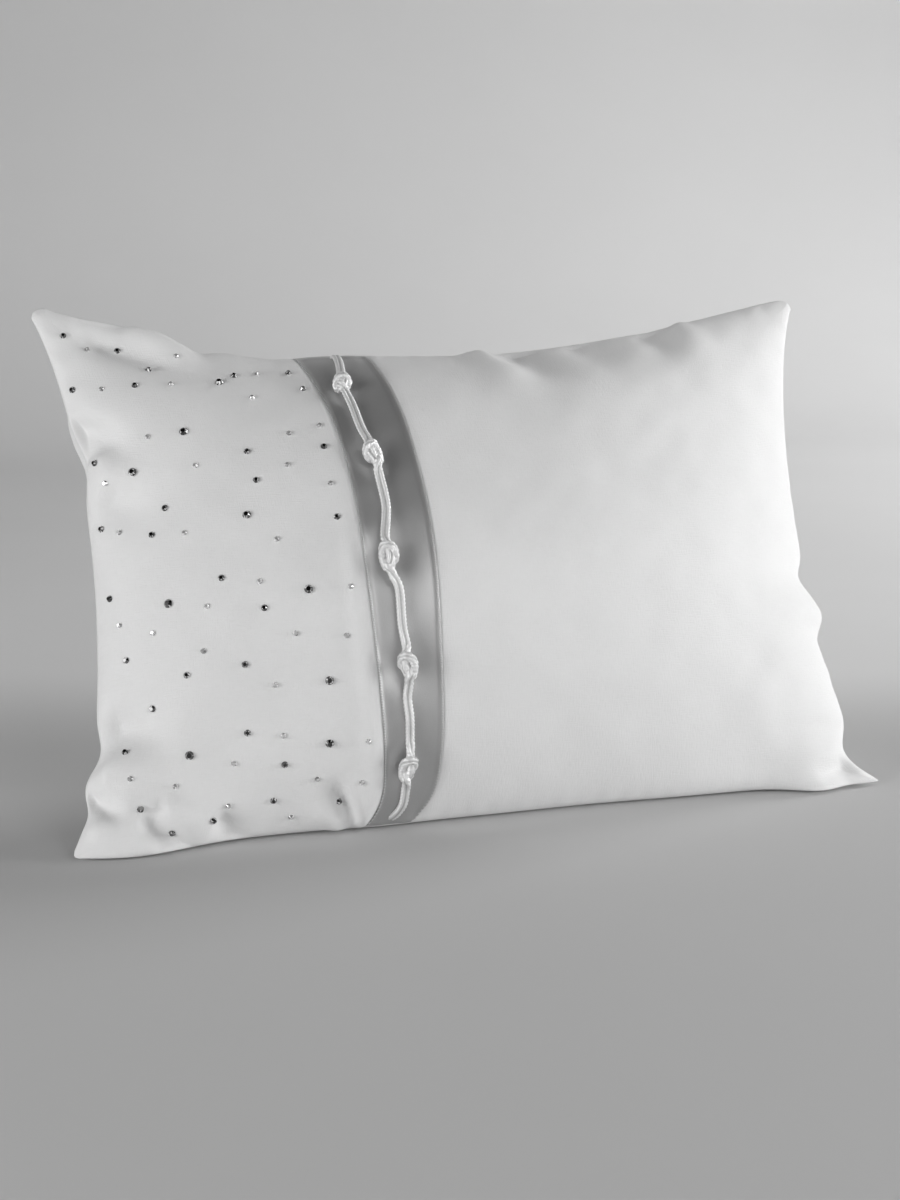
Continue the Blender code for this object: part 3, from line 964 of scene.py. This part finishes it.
def braid_white():
    """Rayon braid: bright plaited threads, with painted shade in the groove between the two cords."""
    material, shader, node, links = new_material("braid_white")
    place = node("ShaderNodeAttribute", attribute_name="flat").outputs["Vector"]
    parts = node("ShaderNodeSeparateXYZ", {"Vector": place})
    beside = node("ShaderNodeMath", {0: parts.outputs["X"]}, operation="ABSOLUTE")
    # Painted shade: the braid darkens towards the groove between the two cords.
    groove = node("ShaderNodeMapRange", {"Value": beside.outputs[0], "From Min": 0.0, "From Max": 0.0005})
    lean = {0: beside.outputs[0], 1: -THREAD_SLANT, 2: parts.outputs["Y"]}
    slant = node("ShaderNodeMath", lean, operation="MULTIPLY_ADD")
    turns = node("ShaderNodeMath", {0: slant.outputs[0], 1: 2.0 * pi / THREAD_PITCH}, operation="MULTIPLY")
    threads = node("ShaderNodeMath", {0: turns.outputs[0]}, operation="SINE")
    fuzz = node("ShaderNodeTexNoise", {"Vector": place, "Scale": 2500.0, "Detail": 2.0})
    surface = {0: threads.outputs[0], 1: 0.5, 2: fuzz.outputs[0]}
    height = node("ShaderNodeMath", surface, operation="MULTIPLY_ADD")
    across = node("ShaderNodeMath", {0: beside.outputs[0], 1: 2.0 * pi / THREAD_ROW}, operation="MULTIPLY")
    wave = node("ShaderNodeMath", {0: across.outputs[0]}, operation="COSINE")
    shade = {0: wave.outputs[0], 1: 0.16, 2: groove.outputs[0]}
    threads_and_groove_shade = node("ShaderNodeMath", shade, operation="MULTIPLY_ADD")
    ramp = node("ShaderNodeValToRGB", {"Fac": threads_and_groove_shade.outputs[0]})
    ramp.color_ramp.elements[0].color = grey(0.58)
    ramp.color_ramp.elements[1].color = grey(0.98)
    tint = node("ShaderNodeMix", {"Factor": 0.18}, data_type="RGBA", blend_type="MULTIPLY")
    links.new(ramp.outputs[0], tint.inputs["A"])
    links.new(fuzz.outputs[0], tint.inputs["B"])
    bump = node("ShaderNodeBump", {"Height": height.outputs[0], "Strength": 0.5, "Distance": 0.0001})
    links.new(tint.outputs["Result"], shader.inputs["Base Color"])
    links.new(bump.outputs[0], shader.inputs["Normal"])
    shader.inputs["Metallic"].default_value = 0.25
    shader.inputs["Roughness"].default_value = 0.34
    shader.inputs["Specular IOR Level"].default_value = 0.8
    return material


def crystal_glass(name, dark, light, metal, roughness):
    """Foil-backed cut glass whose faces carry painted glints and painted dark reflections, from dark where a
    stone's painted shade is 0 to light where it is 1.
    """
    material, shader, node, links = new_material(name)
    shade = node("ShaderNodeAttribute", attribute_name="facet")
    ramp = node("ShaderNodeValToRGB", {"Fac": shade.outputs["Fac"]})
    ramp.color_ramp.elements[0].color = grey(dark)
    ramp.color_ramp.elements[1].color = grey(light)
    links.new(ramp.outputs[0], shader.inputs["Base Color"])
    shader.inputs["Metallic"].default_value = metal
    shader.inputs["Roughness"].default_value = roughness
    shader.inputs["IOR"].default_value = 1.7
    shader.inputs["Specular IOR Level"].default_value = 0.8
    shader.inputs["Coat Weight"].default_value = 0.6
    shader.inputs["Coat Roughness"].default_value = 0.03
    return material


def paper():
    """Matt seamless paper with painted light and shade: darker under the object as painted shade, lighter
    behind it as painted light, and less so high up.
    """
    material, shader, node, links = new_material("paper")
    place = node("ShaderNodeNewGeometry").outputs["Position"]
    cloud = node("ShaderNodeTexNoise", {"Vector": place, "Scale": 3.0, "Detail": 4.0})
    parts = node("ShaderNodeSeparateXYZ", {"Vector": place})
    right, back = parts.outputs["X"], parts.outputs["Y"]
    deep = node("ShaderNodeMath", {0: right, 1: BEHIND_SLANT, 2: back}, operation="MULTIPLY_ADD")
    limits = {"From Min": BEHIND_FROM, "From Max": BEHIND_TO}
    behind = node("ShaderNodeMapRange", {"Value": deep.outputs[0], **limits})
    behind.interpolation_type = "SMOOTHSTEP"
    # Painted shade on the floor under and in front of the object, painted light on the paper behind it.
    tone = node("ShaderNodeMix", {"Factor": behind.outputs[0]}, data_type="RGBA")
    tone.inputs["A"].default_value = grey(SHADED_FLOOR_TONE)
    tone.inputs["B"].default_value = grey(LIT_BACKDROP_TONE)
    grain = node("ShaderNodeMapRange", {"Value": cloud.outputs[0], "To Min": 0.96, "To Max": 1.04})
    # Painted falloff of light: the backdrop grows darker high up.
    high = node("ShaderNodeMapRange", {"Value": parts.outputs["Z"], "From Max": HIGH_BACKDROP, "To Min": 1.0})
    high.inputs["To Max"].default_value = HIGH_BACKDROP_SHADE
    share = node("ShaderNodeMath", {0: grain.outputs[0], 1: high.outputs[0]}, operation="MULTIPLY")
    mixed = node("ShaderNodeVectorMath", {0: tone.outputs["Result"]}, operation="SCALE")
    links.new(share.outputs[0], mixed.inputs["Scale"])
    links.new(mixed.outputs[0], shader.inputs["Base Color"])
    shader.inputs["Roughness"].default_value = 0.9
    shader.inputs["Specular IOR Level"].default_value = 0.1
    return material


# ---------------------------------------------------------------- studio


def make_floor():
    """A floor that sweeps up behind into a backdrop, wide of every view."""
    turns = np.linspace(0.0, pi / 2, SWEEP_POINTS)
    sweep = [(SWEEP_START + SWEEP_RADIUS * sin(t), SWEEP_RADIUS * (1.0 - cos(t))) for t in turns]
    profile = [(-STAGE_SIZE, 0.0), *sweep, (SWEEP_START + SWEEP_RADIUS, STAGE_SIZE)]
    points = [(x, y, z - FLOOR_BELOW) for y, z in profile for x in (-STAGE_SIZE, STAGE_SIZE)]
    faces = [(2 * k, 2 * k + 1, 2 * k + 3, 2 * k + 2) for k in range(len(profile) - 1)]
    floor = make_piece("floor", points, faces, paper())


def soft_light(name, place, target, size, watts):
    """A rectangular soft light aimed at a point."""
    lamp = bpy.data.lights.new(name, "AREA")
    lamp.shape = "RECTANGLE"
    lamp.size, lamp.size_y = size
    lamp.energy = watts
    light = bpy.data.objects.new(name, lamp)
    bpy.context.scene.collection.objects.link(light)
    light.location = place
    light.rotation_euler = (Vector(target) - Vector(place)).to_track_quat("-Z", "Y").to_euler()


def make_studio():
    """Camera, soft lights and the surrounding grey."""
    data = bpy.data.cameras.new("camera")
    data.lens = CAMERA_LENS
    camera = bpy.data.objects.new("camera", data)
    bpy.context.scene.collection.objects.link(camera)
    camera.location = CAMERA_PLACE
    camera.rotation_euler = (CAMERA_TILT, 0.0, CAMERA_TURN)
    bpy.context.scene.camera = camera
    for name, light in LIGHTS.items():
        soft_light(name, *light)
    world = bpy.data.worlds.new("studio")
    world.use_nodes = True
    nodes, links = world.node_tree.nodes, world.node_tree.links
    ramp = nodes.new("ShaderNodeValToRGB")
    ramp.color_ramp.elements[0].position = 0.0
    ramp.color_ramp.elements[0].color = grey(LOW_GREY)
    ramp.color_ramp.elements[1].position = HIGH_GREY_FROM
    ramp.color_ramp.elements[1].color = grey(HIGH_GREY)
    parts = nodes.new("ShaderNodeSeparateXYZ")
    links.new(nodes.new("ShaderNodeTexCoord").outputs["Generated"], parts.inputs[0])
    links.new(parts.outputs["Z"], ramp.inputs[0])
    links.new(ramp.outputs[0], nodes["Background"].inputs["Color"])
    nodes["Background"].inputs["Strength"].default_value = 1.0
    bpy.context.scene.world = world
    bpy.context.scene.view_settings.view_transform = "Standard"


# ---------------------------------------------------------------- assembly


def main():
    """Makes the studio and every piece, attaches each piece to the root body, and hides the CAD parts that
    the pieces show.
    """
    make_studio()
    make_floor()
    satin = white_satin()
    braid, line, length = make_braid(braid_white())
    front = make_cover("front_cover", True, satin)
    back = make_cover("back_cover", False, satin)
    stuffing = make_stuffing(wadding())
    ribbon = make_ribbon(grey_satin())
    large = [(place, LARGE_STONE, LARGE_STONE_RISE) for place in LARGE_PLACES]
    small = [(place, SMALL_STONE, SMALL_STONE_RISE) for place in SMALL_PLACES]
    clear = [(place, CLEAR_STONE, CLEAR_STONE_RISE) for place in CLEAR_PLACES]
    smoky = crystal_glass("smoky_crystal", dark=0.004, light=0.80, metal=0.2, roughness=0.06)
    glassy = crystal_glass("clear_crystal", dark=0.20, light=0.98, metal=0.65, roughness=0.16)
    # The stones' faces carry painted glints and painted dark reflections.
    dark = make_stones("dark_stones", large + small, smoky, seed=21, painted_table_tone=0.0, facets=DARK_FACET_GLINTS)
    bright = make_stones("clear_stones", clear, glassy, seed=22, painted_table_tone=0.9, facets=CLEAR_FACET_GLINTS)
    for piece in (braid, front, back, stuffing, ribbon, dark, bright):
        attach(piece, "root")
    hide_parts("front_panel")
    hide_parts("back_panel")
    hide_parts("filling")
    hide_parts("ribbon")
    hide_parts(*[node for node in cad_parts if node.startswith("braid_")])
    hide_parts(*[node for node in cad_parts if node.startswith("stone_")])


main()
